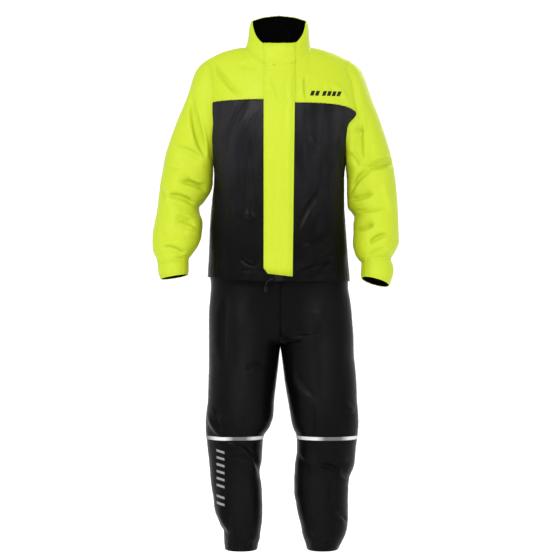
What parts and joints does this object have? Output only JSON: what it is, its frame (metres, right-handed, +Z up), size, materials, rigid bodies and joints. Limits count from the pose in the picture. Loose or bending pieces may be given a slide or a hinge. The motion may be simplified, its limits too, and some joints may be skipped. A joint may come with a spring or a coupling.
{
  "type": "rain suit",
  "caption": "Two-piece motorcycle rain suit, a stand-collar jacket with a storm flap over straight trousers, filled out as worn.",
  "frame": {"origin": "between the shoulder seams at the base of the neck, where the wearer's shoulders hold the jacket up", "axes": "+Z up, +X towards the wearer's left, -Y out of the front"},
  "size_m": [0.711, 0.3159, 1.5563],
  "materials": {
    "hi_vis_cloth": "coated polyester, fluorescent yellow, satin",
    "black_cloth": "coated polyester, black, satin",
    "black_lining": "thin woven lining, black, matt",
    "zip_tape": "woven zip tape with closed teeth, black",
    "reflective_tape": "glass-bead reflective tape, silver grey",
    "cord": "braided cord, black",
    "toggle_plastic": "moulded, black"
  },
  "bodies": {
    "root": {"collar": "hi_vis_cloth", "collar_lining": "black_lining", "yoke_front_right": "hi_vis_cloth", "yoke_front_left": "hi_vis_cloth", "yoke_back": "hi_vis_cloth", "front_right": "black_cloth", "front_left": "black_cloth", "back": "black_cloth", "sleeve_right": "hi_vis_cloth", "sleeve_left": "hi_vis_cloth", "cuff_right": "hi_vis_cloth", "cuff_left": "hi_vis_cloth", "cuff_facing_right": "black_lining", "cuff_facing_left": "black_lining", "front_zip": "zip_tape", "storm_flap": "hi_vis_cloth", "hem_eyelet": "toggle_plastic", "hem_cord": "cord", "cord_toggle": "toggle_plastic", "waistband": "black_cloth", "trouser_front_right": "black_cloth", "trouser_front_left": "black_cloth", "trouser_back_right": "black_cloth", "trouser_back_left": "black_cloth", "knee_band_right": "reflective_tape", "knee_band_left": "reflective_tape"}
  },
  "joints": []
}
